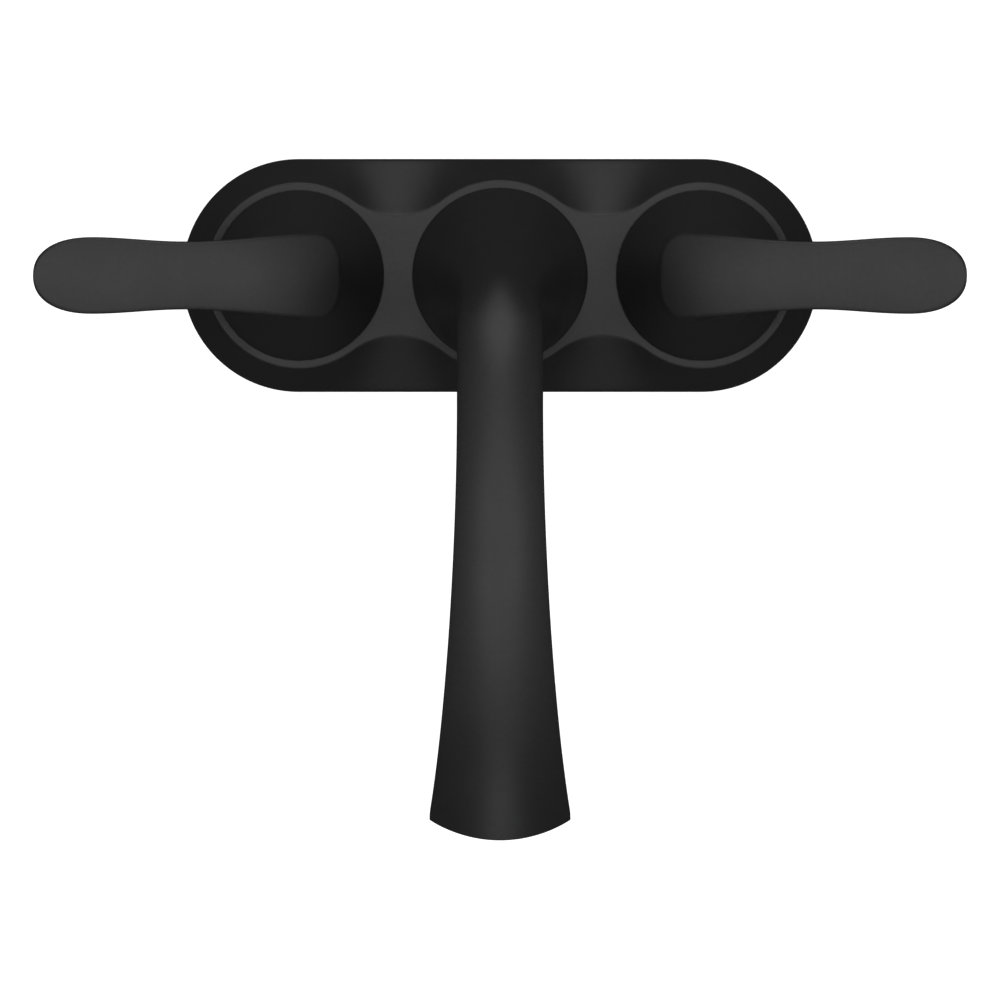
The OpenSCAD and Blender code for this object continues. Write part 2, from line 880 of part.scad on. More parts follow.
module aerator_insert() {
    pitch = 2.5;
    color(NYLON)
        at_mouth()
            translate([0, 0, 2 - aerator_depth])
                difference() {
                    cylinder(h = 4.4, r = 6.95);
                    for (i = [-2:2], j = [-2:2])
                        let (x = pitch * (i + j / 2), y = pitch * j * sin(60))
                        if (norm([x, y]) < 5.6)
                            translate([x, y, -cut])
                                cylinder(h = 4.4 + 2 * cut, r = 0.95, $fn = 24);
                }
}

// ---- The nodes ----

base_plate();
deck_gasket();
mixing_block();
spout_body();
spout_waterway();
spout_seals();
spout_screws();
outlet_adapter();
aerator_gasket();
aerator_housing();
aerator_insert();
at_handle(HOT) valve_body();  // hot_valve_body
at_handle(COLD) valve_body();  // cold_valve_body
at_handle(HOT) cross_tube();  // hot_cross_tube
at_handle(COLD) cross_tube();  // cold_cross_tube
at_handle(HOT) lock_ring();  // hot_lock_ring
at_handle(COLD) lock_ring();  // cold_lock_ring
at_handle(HOT) bonnet_nut();  // hot_bonnet_nut
at_handle(COLD) bonnet_nut();  // cold_bonnet_nut
at_handle(HOT) cartridge_shell();  // hot_cartridge_shell
at_handle(COLD) cartridge_shell();  // cold_cartridge_shell
at_handle(HOT) cartridge_seal();  // hot_cartridge_seal
at_handle(COLD) cartridge_seal();  // cold_cartridge_seal
at_handle(HOT) seat_seal();  // hot_seat_seal
at_handle(COLD) seat_seal();  // cold_seat_seal
at_handle(HOT) fixed_disc();  // hot_fixed_disc
at_handle(COLD) fixed_disc();  // cold_fixed_disc
at_handle(HOT) deck_washer();  // hot_deck_washer
at_handle(COLD) deck_washer();  // cold_deck_washer
at_handle(HOT) mounting_nut();  // hot_mounting_nut
at_handle(COLD) mounting_nut();  // cold_mounting_nut
at_handle(HOT) handle();  // hot_handle
at_handle(COLD) handle();  // cold_handle
at_handle(HOT) handle_insert();  // hot_handle_insert
at_handle(COLD) handle_insert();  // cold_handle_insert
at_handle(HOT) set_screw();  // hot_set_screw
at_handle(COLD) set_screw();  // cold_set_screw
at_handle(HOT) glide_ring();  // hot_glide_ring
at_handle(COLD) glide_ring();  // cold_glide_ring
at_handle(HOT) stem();  // hot_stem
at_handle(COLD) stem();  // cold_stem
at_handle(HOT) stem_seal();  // hot_stem_seal
at_handle(COLD) stem_seal();  // cold_stem_seal
at_handle(HOT) moving_disc();  // hot_moving_disc
at_handle(COLD) moving_disc();  // cold_moving_disc
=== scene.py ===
"""Finished surfaces, materials, light and camera for a matte black centreset basin faucet.

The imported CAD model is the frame. The plate, the spout, the two handles and the hardware under the
deck are remade here with rounded edges, blends and threads. Every other CAD node keeps its shape
and gets its own material. Sizes are in millimetres in the CAD's own frame: +X to the user's right,
the spout along -Y, and +Z up from the deck.
"""

import json
import math

import bmesh
import bpy
import numpy as np
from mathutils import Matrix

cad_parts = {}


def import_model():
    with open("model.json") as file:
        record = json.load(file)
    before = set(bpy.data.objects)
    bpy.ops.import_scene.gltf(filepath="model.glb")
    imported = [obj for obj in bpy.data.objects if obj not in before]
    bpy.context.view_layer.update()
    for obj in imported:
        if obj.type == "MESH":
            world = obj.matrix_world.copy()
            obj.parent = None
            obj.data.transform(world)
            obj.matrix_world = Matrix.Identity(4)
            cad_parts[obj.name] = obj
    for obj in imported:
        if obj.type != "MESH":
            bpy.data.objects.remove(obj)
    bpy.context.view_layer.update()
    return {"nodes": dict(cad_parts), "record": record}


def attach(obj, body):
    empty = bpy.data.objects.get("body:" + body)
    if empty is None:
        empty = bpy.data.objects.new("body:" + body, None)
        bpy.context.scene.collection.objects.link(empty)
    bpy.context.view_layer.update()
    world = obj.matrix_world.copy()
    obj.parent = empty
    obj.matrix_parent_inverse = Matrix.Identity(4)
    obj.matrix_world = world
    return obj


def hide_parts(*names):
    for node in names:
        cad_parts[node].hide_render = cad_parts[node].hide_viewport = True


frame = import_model()

MM = 0.001

# Layout
HUB_X = 50.8  # each handle's axis, from the middle
DECK_T = 25.0
GASKET_T = 1.5

# Base plate
PLATE_R = 29.4
PLATE_TOP = 16.5
RIM_TOP = 4.5
PLATE_WALL = 2.5
CENTRE_RING_R = 24.0
SIDE_RING_R = 23.4
WAIST_W = 15.15
SIDE_STEPS = 160  # points along each long side of the plate
END_STEPS = 72  # points round each end

# Handles
BELL_FOOT = PLATE_TOP + 0.4
BELL_R = 21.7
BELL_TOP_R = 11.0
BELL_H = 27.0
BELL_TAPER = (BELL_R - BELL_TOP_R) / BELL_H
LEVER_REACH = 67.05
LEVER_HEEL = 10.6
LEVER_TOP = 62.0
ROOT_W = 10.85  # half widths of the lever at its root, waist and paddle
LEVER_WAIST_W = 8.6
PADDLE_W = 9.7
HEEL_AT = -4.6  # where the rounding of the heel starts
HEEL_DROP = 8.0  # how much the half width loses in that rounding
WAIST_AT = 29.0
PADDLE_AT = 52.0

# Spout
FOOT_R = 22.15
NECK_W = 10.9
MOUTH_W = 17.7
SPOUT_WALL = 2.8
SPOUT_SIDES = 96
AERATOR_R = 8.2
AERATOR_DEPTH = 8.0
MOUTH_HOLE_R = 6.0
BORE_FROM = 2.8  # the station from which the hollow follows the aerator's axis
SCREW_Y = 12.0
BOSS_R = 4.2
BOSS_H = 12.5
SCREW_HOLE_R = 2.5
WEB_HALF = 1.5  # half the thickness of the webs that join the screw bosses to the wall

# Hardware under the deck
SHANK_R = 10.4
SHANK_L = 52.0
THREAD_PITCH = 1.814
THREAD_DEPTH = 0.9

# Picture
PICTURE_SIDE = 252.3
PICTURE_Y = -56.65  # what the middle of the picture looks at


# ---- Curves ----


def lerp(a, b, t):
    return a + (b - a) * t


def ease(t):
    u = np.clip(t, 0.0, 1.0)
    return u * u * (3 - 2 * u)


def signed_power(v, e):
    return np.sign(v) * np.abs(v) ** e


def bezier(p, t):
    p = np.asarray(p, float)
    t = np.asarray(t, float)[..., None]
    return (
        (1 - t) ** 3 * p[0]
        + 3 * (1 - t) ** 2 * t * p[1]
        + 3 * (1 - t) * t**2 * p[2]
        + t**3 * p[3]
    )


def straight(a, b):
    a, b = np.asarray(a, float), np.asarray(b, float)
    return [a, lerp(a, b, 1 / 3), lerp(a, b, 2 / 3), b]


def unit(v):
    return v / np.linalg.norm(v, axis=-1, keepdims=True)


def fillet(before, corner, after, size, steps):
    """Points that round the corner, starting and ending that far from it."""
    a = corner + unit(before - corner) * size
    b = corner + unit(after - corner) * size
    return [
        (1 - t) ** 2 * a + 2 * t * (1 - t) * corner + t**2 * b
        for t in np.linspace(0, 1, steps + 1)
    ]


def softened(profile, size, steps=4):
    """A closed profile with each of its corners rounded."""
    points = [np.array(p, float) for p in profile]
    out = []
    for i, corner in enumerate(points):
        before, after = points[i - 1], points[(i + 1) % len(points)]
        room = min(np.linalg.norm(before - corner), np.linalg.norm(after - corner)) * 0.45
        out += fillet(before, corner, after, min(size, room), steps)
    return out


# ---- Meshes ----


def stack_faces(count, sides, loop=False):
    """Quads between each ring and the next, and with loop also between the last and the first."""
    faces = []
    for i in range(count if loop else count - 1):
        a, b = i * sides, (i + 1) % count * sides
        for j in range(sides):
            k = (j + 1) % sides
            faces.append((a + j, a + k, b + k, b + j))
    return faces


def strip_faces(sides, tip, first):
    """Quads and two end triangles across a ring that is symmetric about its point number tip."""
    faces = []
    for i in range(sides // 2):
        ring = (tip + i, tip + i + 1, tip - i - 1 + sides, tip - i + sides)
        face = []
        for j in ring:
            if first + j % sides not in face:
                face.append(first + j % sides)
        faces.append(tuple(face))
    return faces


def new_object(name, points, faces):
    """An object in the scene, from points in millimetres, with its faces turned outwards."""
    mesh = bpy.data.meshes.new(name)
    mesh.from_pydata((np.asarray(points, float).reshape(-1, 3) * MM).tolist(), [], faces)
    work = bmesh.new()
    work.from_mesh(mesh)
    bmesh.ops.recalc_face_normals(work, faces=work.faces)
    work.to_mesh(mesh)
    work.free()
    obj = bpy.data.objects.new(name, mesh)
    bpy.context.scene.collection.objects.link(obj)
    return obj


def ring_solid(name, rings, loop=False):
    """A closed solid through a stack of rings.

    With loop the last ring joins the first, and without it both ends get a lid.
    """
    sides = len(rings[0])
    faces = stack_faces(len(rings), sides, loop)
    if not loop:
        last = (len(rings) - 1) * sides
        faces += [tuple(range(sides)), tuple(range(last, last + sides))]
    return new_object(name, np.concatenate(rings), faces)


def circle(r, z, sides, x=0.0, y=0.0):
    a = np.linspace(0, 2 * math.pi, sides, endpoint=False)
    return np.stack([x + r * np.cos(a), y + r * np.sin(a), np.full(sides, z)], 1)


def cylinder(name, r, z_from, z_to, x=0.0, y=0.0, sides=96):
    return ring_solid(name, [circle(r, z_from, sides, x, y), circle(r, z_to, sides, x, y)])


def rod(name, r, x_from, x_to, z, sides=64):
    """A cylinder along X at height z."""
    ends = []
    for x in (x_from, x_to):
        c = circle(r, 0, sides)
        ends.append(np.stack([np.full(sides, x), c[:, 0], z + c[:, 1]], 1))
    return ring_solid(name, ends)


def combine(obj, other, operation="DIFFERENCE"):
    """Cuts the other object out of this one, or joins it on, and removes the other."""
    change = obj.modifiers.new("combine", "BOOLEAN")
    change.operation = operation
    change.solver = "MANIFOLD"
    change.object = other
    settle(obj)
    bpy.data.objects.remove(other)
    return obj


def settle(obj):
    """Applies the object's modifiers to its mesh."""
    graph = bpy.context.evaluated_depsgraph_get()
    mesh = bpy.data.meshes.new_from_object(obj.evaluated_get(graph))
    obj.modifiers.clear()
    obj.data = mesh
    mesh.name = obj.name
    return obj


def moved(obj, turn, x):
    """Turns the object's mesh by half turns about Z and moves it along X, in millimetres."""
    points = np.empty(len(obj.data.vertices) * 3)
    obj.data.vertices.foreach_get("co", points)
    points = points.reshape(-1, 3)
    points[:, :2] *= math.cos(math.pi * turn)
    points[:, 0] += x * MM
    obj.data.vertices.foreach_set("co", points.ravel())
    obj.data.update()
    return obj


def both_sides(make, name):
    """The hot and the cold copy of a piece drawn on its own axis, with +X pointing outwards."""
    cold = make(f"cold_{name}")
    hot = bpy.data.objects.new(f"hot_{name}", cold.data.copy())
    bpy.context.scene.collection.objects.link(hot)
    return {"hot": moved(hot, 1, -HUB_X), "cold": moved(cold, 0, HUB_X)}


def place(obj, material, body, node, sharp=32):
    """Gives a finished piece its material and slot, and sets it on its body in place of a node."""
    obj.data.materials.clear()
    obj.data.materials.append(material)
    obj.data.shade_smooth()
    obj.data.set_sharp_from_angle(angle=math.radians(sharp))
    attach(obj, body)
    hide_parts(node)


# ---- Base plate ----


def waist_arc():
    """Middle (x, y) and radius of the arc round a waist, tangent to the centre and side rings."""
    r0, r1, w = CENTRE_RING_R, SIDE_RING_R, WAIST_W
    a = (HUB_X**2 + r0**2 - r1**2) / (2 * HUB_X)
    b = (r0 - r1) / HUB_X
    q = 2 * (a * b + w - r0)
    c = a**2 + w**2 - r0**2
    r = 2 * c / (-q + math.sqrt(q**2 - 4 * b**2 * c))
    return a + b * r, r + w, r


WAIST_X, WAIST_Y, WAIST_R = waist_arc()


def flat_depth(x, inset):
    """Half the depth of the plate's flat top at x, drawn in by inset."""
    u = np.abs(x)
    start = WAIST_X * CENTRE_RING_R / (CENTRE_RING_R + WAIST_R)
    end = HUB_X - (HUB_X - WAIST_X) * SIDE_RING_R / (SIDE_RING_R + WAIST_R)
    middle = np.sqrt(np.maximum((CENTRE_RING_R - inset) ** 2 - u**2, 0))
    waist = WAIST_Y - np.sqrt(np.maximum((WAIST_R + inset) ** 2 - (u - WAIST_X) ** 2, 0))
    side = np.sqrt(np.maximum((SIDE_RING_R - inset) ** 2 - (u - HUB_X) ** 2, 0))
    return np.where(u < start, middle, np.where(u < end, waist, side))


def plate_ring(z, inset, flat):
    """A ring round the plate: flat 0 is its outline, flat 1 is the edge of its flat top."""
    r = lerp(PLATE_R, SIDE_RING_R, flat) - inset
    x = np.linspace(HUB_X, -HUB_X, SIDE_STEPS, endpoint=False)
    y = lerp(PLATE_R - inset, flat_depth(x, inset), flat)
    a = np.linspace(math.pi / 2, 3 * math.pi / 2, END_STEPS, endpoint=False)
    half_x = np.concatenate([x, -HUB_X + r * np.cos(a)])
    half_y = np.concatenate([y, r * np.sin(a)])
    outline = np.stack([half_x, -half_y], 1)
    outline = np.concatenate([outline, -outline])
    return np.column_stack([outline, np.full(len(outline), z)])


def base_plate():
    foot = plate_ring(GASKET_T, 0, 0)
    rim = plate_ring(RIM_TOP, 0, 0)
    brow = plate_ring(PLATE_TOP, 0, 1)
    flat = plate_ring(PLATE_TOP, 1.5, 1)
    rim_round = fillet(foot, rim, brow, 0.9, 6)
    brow_round = fillet(rim, brow, flat, 0.45, 5)
    skirt = [lerp(rim_round[-1], brow_round[0], t) for t in np.linspace(0, 1, 15)[1:-1]]
    near_foot = [lerp(foot, rim_round[0], t) for t in (0.1, 0.9)]
    near_flat = [lerp(brow_round[-1], flat, t) for t in (0.15, 1)]
    outer = [foot] + near_foot + rim_round + skirt + brow_round + near_flat
    low = plate_ring(RIM_TOP - 1, PLATE_WALL, 0)
    high = plate_ring(PLATE_TOP - PLATE_WALL, PLATE_WALL, 1)
    inner = [plate_ring(GASKET_T, PLATE_WALL, 0)]
    inner += [lerp(low, high, t) for t in np.linspace(0, 1, 11)]

    sides = len(foot)
    tip = SIDE_STEPS + END_STEPS // 2
    shift = len(outer) * sides
    faces = stack_faces(len(outer), sides)
    faces += [tuple(shift + j for j in f) for f in stack_faces(len(inner), sides)]
    faces += [(j, (j + 1) % sides, shift + (j + 1) % sides, shift + j) for j in range(sides)]
    faces += strip_faces(sides, tip, shift - sides)
    faces += strip_faces(sides, tip, shift + (len(inner) - 1) * sides)
    plate = new_object("base_plate_cast", np.concatenate(outer + inner), faces)

    low, high = PLATE_TOP - PLATE_WALL - 1, PLATE_TOP + 1
    holes = [(12.8, x, 0) for x in (-HUB_X, HUB_X)] + [(7.8, 0, 0)]
    holes += [(2.7, 0, y) for y in (-SCREW_Y, SCREW_Y)]
    for r, x, y in holes:
        combine(plate, cylinder("hole", r, low, high, x, y))
    return plate


# ---- Spout ----
# The side outline as (forward, up) points, over the top from the back of the foot to the upper lip
# and along the underside from the front of the foot to the lower lip.

SHOULDER = (-1.5, 78.0)
ARMPIT = (17.0, 60.0)
UPPER_LIP = (142.7, 88.0)
LOWER_LIP = (126.0, 72.0)
TOP_RAIL = (
    straight((-FOOT_R, PLATE_TOP), SHOULDER),
    (SHOULDER, (4.0, 93.0), (34.0, 107.0), (70.0, 107.0)),
    ((70.0, 107.0), (98.0, 107.0), (121.7, 101.6), UPPER_LIP),
)
UNDER_RAIL = (
    straight((FOOT_R, PLATE_TOP), ARMPIT),
    (ARMPIT, (15.4, 73.9), (46.0, 87.5), (72.0, 87.5)),
    ((72.0, 87.5), (92.0, 87.5), (109.0, 81.0), LOWER_LIP),
)
FLARE_AT = 31.5
FLARE_TO = 136.5
ARCH = 0.42  # how high the arm's top arches, as a share of its half width
SLOPE = math.atan2(UPPER_LIP[1] - LOWER_LIP[1], UPPER_LIP[0] - LOWER_LIP[0])
MOUTH_UP = np.array([math.cos(SLOPE), math.sin(SLOPE)])
OUTLET = np.array([math.sin(SLOPE), -math.cos(SLOPE)])
MOUTH_MIDDLE = (np.array(UPPER_LIP) + np.array(LOWER_LIP)) / 2 - MOUTH_UP
AROUND = np.linspace(0, 2 * math.pi, SPOUT_SIDES, endpoint=False)


def rail_point(rail, s):
    i = min(int(s), len(rail) - 1)
    return bezier(rail[i], s - i)


def in_plane(across, middle, up, height):
    """Points of a section: across is sideways, and height is measured along up from the middle."""
    p = middle + np.outer(height, up)
    return np.stack([across, -p[:, 0], p[:, 1]], 1)


def spout_half_width(s, forward):
    if s < 1:
        return lerp(NECK_W, FOOT_R, (1 - s) ** 1.3)
    u = max(0.0, forward - FLARE_AT) / (FLARE_TO - FLARE_AT)
    return lerp(NECK_W, MOUTH_W, 0.92 * u**1.9 + 0.08 * u**8)


def spout_ring(s, inset):
    """The section at s, from 0 at the foot to 3 at the mouth, drawn in by inset.

    It is an oval up to the neck, and on the arm a shallow arch over upright sides.
    """
    top, under = rail_point(TOP_RAIL, s), rail_point(UNDER_RAIL, s)
    span = np.linalg.norm(top - under)
    up = (top - under) / span
    bend, arm = ease((s - 1.05) / 0.3), ease((s - 1.35) / 0.45)
    middle = (top + under) / 2
    belt_down = lerp(span / 2, ARCH * spout_half_width(s, middle[0]), bend)
    belt = top - up * belt_down
    above = np.cos(AROUND) >= 0
    half = np.where(above, belt_down - inset * lerp(1, 0.8, arm), span - belt_down - inset)
    e = np.where(above, lerp(1, 1.85, arm), lerp(1, 0.8, arm))
    side_e = np.where(above, 1, lerp(1, 0.8, arm))
    across = (spout_half_width(s, belt[0]) - inset) * signed_power(np.sin(AROUND), side_e)
    return in_plane(across, belt, up, half * signed_power(np.cos(AROUND), e))


def spout_middle(s):
    return (rail_point(TOP_RAIL, s) + rail_point(UNDER_RAIL, s)) / 2


def axis_point(s):
    """Where the aerator's axis crosses the section at s."""
    up = rail_point(TOP_RAIL, s) - rail_point(UNDER_RAIL, s)
    ahead = np.array([up[1], -up[0]])
    return MOUTH_MIDDLE - OUTLET * ((MOUTH_MIDDLE - spout_middle(s)) @ ahead) / (OUTLET @ ahead)


def hollow_ring(s):
    """The hollow inside the spout, which narrows to a round hole behind the aerator."""
    shift = (axis_point(BORE_FROM) - spout_middle(BORE_FROM)) * ease((s - BORE_FROM + 0.4) / 0.4)
    up = unit(rail_point(TOP_RAIL, s) - rail_point(UNDER_RAIL, s))
    hole = in_plane(
        MOUTH_HOLE_R * np.sin(AROUND), spout_middle(s) + shift, up, MOUTH_HOLE_R * np.cos(AROUND)
    )
    return lerp(spout_ring(s, SPOUT_WALL), hole, ease((s - 2.45) / 0.35))


def mouth_ring(r, depth):
    """A circle round the aerator's axis, that deep behind the mouth."""
    middle = MOUTH_MIDDLE - OUTLET * depth
    return in_plane(r * np.sin(AROUND), middle, MOUTH_UP, r * np.cos(AROUND))


def spout_body():
    lip = 0.35
    lip_start = 3 - lip / 75
    stations = np.concatenate([
        np.linspace(0, 1, 36, endpoint=False),
        np.linspace(1, 2, 48, endpoint=False),
        np.linspace(2, lip_start, 60),
    ])
    outer = [spout_ring(s, 0) for s in stations]
    foot = [outer[0] + (0, 0, h) for h in (0, 0.3)]
    foot[0][:, :2] *= 1 - 0.3 / FOOT_R
    rim = []
    for a in np.radians(np.linspace(0, 90, 7)[1:]):
        rim.append(spout_ring(lerp(lip_start, 3, math.sin(a)), lip * (1 - math.cos(a))))
    face = [lerp(rim[-1], mouth_ring(AERATOR_R + 0.4, 0), t) for t in (0.08, 0.92, 1)]
    bore = [mouth_ring(AERATOR_R, 0.4), mouth_ring(AERATOR_R, AERATOR_DEPTH)]
    hollow = [hollow_ring(s) for s in np.linspace(BORE_FROM, 0, 70)]
    step = [mouth_ring(MOUTH_HOLE_R, AERATOR_DEPTH)]
    rings = foot + outer[1:] + rim + face + bore + step + hollow
    spout = ring_solid("spout_cast", rings, loop=True)

    boss_top = PLATE_TOP + BOSS_H
    for y in (-SCREW_Y, SCREW_Y):
        combine(spout, cylinder("boss", BOSS_R, PLATE_TOP, boss_top, 0, y, 48), "UNION")
    for near, far in ((-19.5, -13.0), (13.0, 16.8)):
        web = [(-WEB_HALF, near), (WEB_HALF, near), (WEB_HALF, far), (-WEB_HALF, far)]
        rings = [np.array([(x, y, z) for x, y in web]) for z in (PLATE_TOP, boss_top)]
        combine(spout, ring_solid("web", rings), "UNION")
    for y in (-SCREW_Y, SCREW_Y):
        combine(spout, cylinder("hole", SCREW_HOLE_R, PLATE_TOP - 1, boss_top - 1, 0, y, 48))
    return spout


# ---- Handles ----
# A handle's outside is where its field is zero: a bell and a lever, joined by a rounded blend.
# Heights and lengths are on the handle's own axis, with +X out along the lever.

TOP_CURVE = (
    (-LEVER_HEEL, LEVER_TOP - 15), (-3.5, LEVER_TOP - 8), (13, LEVER_TOP - 0.5), (34, LEVER_TOP)
)
UNDER_CURVE = ((9.5, 37), (15, 46), (22, LEVER_TOP - 8), (40, LEVER_TOP - 6.5))
LEVER_BED = 30.0  # the lever's underside inside the bell
CROWN = 0.9  # how much higher the lever's top is along its middle
EDGE_LIFT = 1.8  # how much higher its underside is along its edges
TIP_LIFT = 1.2  # how much higher its underside is at the tip
NET_STEP = 0.45
FIELD_LOW = (-22.6, -22.6, 16.0)
FIELD_HIGH = (68.2, 22.6, 63.0)


def curve_table(curve, ahead):
    """Height and slope factor along a curve, which runs on straight for that far at both ends."""
    p = bezier(curve, np.linspace(0, 1, 400))
    first, last = unit(p[1] - p[0]), unit(p[-1] - p[-2])
    p = np.concatenate([[p[0] - first * ahead], p, [p[-1] + last * ahead]])
    tilt = np.gradient(p[:, 1], p[:, 0])
    return p[:, 0], p[:, 1], 1 / np.sqrt(1 + tilt**2)


def lever_half_width(x):
    heel = np.clip((HEEL_AT - x) / (HEEL_AT + LEVER_HEEL), 0, 1)
    tip = np.clip((x - PADDLE_AT) / (LEVER_REACH - PADDLE_AT), 0, 1)
    to_waist = np.clip((x - HEEL_AT) / (WAIST_AT - HEEL_AT), 0, 1) ** 0.85
    w = lerp(ROOT_W, LEVER_WAIST_W, ease(to_waist))
    w = lerp(w, PADDLE_W, ease((x - WAIST_AT) / (PADDLE_AT - WAIST_AT)))
    w = w - HEEL_DROP * (1 - np.sqrt(1 - heel**2)) * (x < HEEL_AT)
    return w * (1 - tip**2.3) ** (1 / 2.3)


def plan_table(step=0.25):
    """Signed distance from the lever's outline, seen from above, on a grid of (x, |y|)."""
    a = np.linspace(0, math.pi, 160)
    x = lerp(-LEVER_HEEL, LEVER_REACH, (1 - np.cos(a)) / 2)
    outline = np.stack([x, lever_half_width(x)], 1)
    outline = np.concatenate([[[-LEVER_HEEL, 0]], outline, [[LEVER_REACH, 0]]])
    gx = np.arange(FIELD_LOW[0] - 1, FIELD_HIGH[0] + 1, step)
    gy = np.arange(0, FIELD_HIGH[1] + 1, step)
    p = np.stack(np.meshgrid(gx, gy, indexing="ij"), -1)
    best = np.full(p.shape[:2], 1e9)
    for start, end in zip(outline[:-1], outline[1:]):
        run = end - start
        t = np.clip((p - start) @ run / max(run @ run, 1e-12), 0, 1)
        best = np.minimum(best, np.linalg.norm(p - start - t[..., None] * run, axis=-1))
    inside = (gx[:, None] > -LEVER_HEEL) & (gx[:, None] < LEVER_REACH)
    inside = inside & (gy[None, :] < lever_half_width(gx)[:, None])
    return gx[0], step, np.where(inside, -best, best)


def read_table(table, x, y):
    x0, step, values = table
    u = np.clip((x - x0) / step, 0, values.shape[0] - 1.001)
    v = np.clip(np.abs(y) / step, 0, values.shape[1] - 1.001)
    i, j = u.astype(int), v.astype(int)
    a, b = u - i, v - j
    low = lerp(values[i, j], values[i + 1, j], a)
    high = lerp(values[i, j + 1], values[i + 1, j + 1], a)
    return lerp(low, high, b)


def round_both(a, b, r):
    """The overlap of two fields, with the edge between them rounded to radius r."""
    corner = np.hypot(np.maximum(a + r, 0), np.maximum(b + r, 0))
    return np.minimum(np.maximum(a, b), -r) + corner


def round_either(a, b, r):
    """The union of two fields, with the corner between them filled to radius r."""
    corner = np.hypot(np.maximum(r - a, 0), np.maximum(r - b, 0))
    return np.maximum(np.minimum(a, b), r) - corner


def handle_field(plan, top_curve, under_curve):
    """The handle as a function of place: below zero inside it, and zero on its surface."""

    def field(x, y, z):
        side = read_table(plan, x, y)
        across = (y / lever_half_width(np.clip(x, HEEL_AT, PADDLE_AT))) ** 2
        top_x, top_z, top_factor = top_curve
        over = z - np.interp(x, top_x, top_z) + CROWN * across
        over = over * np.interp(x, top_x, top_factor)
        under_x, under_z, under_factor = under_curve
        lift = EDGE_LIFT * ease((x - 8) / 20) * np.minimum(across, 1.5)
        lift = lift + TIP_LIFT * np.clip((x - 48) / 19, 0, 1.2) ** 2
        below = np.maximum(np.interp(x, under_x, under_z), LEVER_BED) + lift - z
        below = below * np.interp(x, under_x, under_factor)
        lever = round_both(round_both(side, over, 0.7), below, 1.0)

        out = np.hypot(x, y) - (BELL_R - BELL_TAPER * (z - BELL_FOOT))
        bell = round_both(out / math.hypot(1, BELL_TAPER), z - BELL_FOOT - BELL_H, 0.6)
        bell = round_both(bell, BELL_FOOT - z, 0.5)
        return round_either(lever, bell, lerp(0.8, 5.0, ease((x - 4) / 9)))

    return field


def surface_net(field, low, high, step):
    """Points and quads along a field's zero surface, with one point in each cell it crosses."""
    axes = [np.arange(a, b, step) for a, b in zip(low, high)]
    values = field(*np.meshgrid(*axes, indexing="ij", sparse=False))
    inside = values < 0
    size = np.array(values.shape) - 1
    corners = [(i, j, k) for i in (0, 1) for j in (0, 1) for k in (0, 1)]
    count = sum(
        inside[i : i + size[0], j : j + size[1], k : k + size[2]].astype(int) for i, j, k in corners
    )
    cells = np.argwhere((count > 0) & (count < 8))
    number = np.full(size, -1)
    number[tuple(cells.T)] = np.arange(len(cells))

    total = np.zeros((len(cells), 3))
    hits = np.zeros(len(cells))
    for start in corners:
        for axis in range(3):
            if start[axis]:
                continue
            end = np.array(start)
            end[axis] = 1
            a = values[tuple((cells + start).T)]
            b = values[tuple((cells + end).T)]
            crossed = (a < 0) != (b < 0)
            t = np.where(crossed, a / np.where(crossed, a - b, 1), 0)
            point = np.array(start, float) + t[:, None] * (end - np.array(start))
            total += np.where(crossed[:, None], point, 0)
            hits += crossed
    points = np.array(low) + step * (cells + total / hits[:, None])

    faces = []
    for axis in range(3):
        others = [a for a in range(3) if a != axis]
        ahead = np.roll(inside, -1, axis)
        edges = np.argwhere(inside != ahead)
        step_a, step_b = np.zeros(3, int), np.zeros(3, int)
        step_a[others[0]] = 1
        step_b[others[1]] = 1
        around = (edges, edges - step_a, edges - step_a - step_b, edges - step_b)
        faces.append(np.stack([number[tuple(c.T)] for c in around], 1))
    return points, np.concatenate(faces)


def onto_surface(field, points, rounds=3, reach=0.02):
    """Moves points straight onto the field's zero surface."""
    for _ in range(rounds):
        slope = np.empty_like(points)
        for axis in range(3):
            step = np.zeros(3)
            step[axis] = reach
            slope[:, axis] = (field(*(points + step).T) - field(*(points - step).T)) / (2 * reach)
        steep = np.maximum((slope**2).sum(1), 0.1)
        points = points - slope * (field(*points.T) / steep)[:, None]
    return points


def handle(name):
    field = handle_field(plan_table(), curve_table(TOP_CURVE, 12), curve_table(UNDER_CURVE, 30))
    points, faces = surface_net(field, FIELD_LOW, FIELD_HIGH, NET_STEP)
    obj = new_object(name, onto_surface(field, points), faces.tolist())
    hollow = [
        (20.2, BELL_FOOT - 1), (20.2, 18.4), (18.8, 18.4), (12.9, 33.3), (8.5, 33.3), (8.5, 42.5)
    ]
    combine(obj, ring_solid("hollow", [circle(r, z, 128) for r, z in hollow]))
    combine(obj, rod("screw_hole", 2.55, 7.5, BELL_R, 36.5))
    return obj


# ---- Hardware under the deck ----


def turned(name, profile, sides=96):
    """A piece turned on a lathe, from a closed profile of (radius, height)."""
    return ring_solid(name, [circle(r, z, sides) for r, z in profile], loop=True)


def thread_cut(z, angle):
    """How deep a screw thread is cut at a height and angle, from 0 at its crest to 1."""
    turn = (z / THREAD_PITCH + angle / (2 * math.pi)) % 1
    return np.clip((1 - np.abs(2 * turn - 1)) * 1.3 - 0.15, 0, 1)


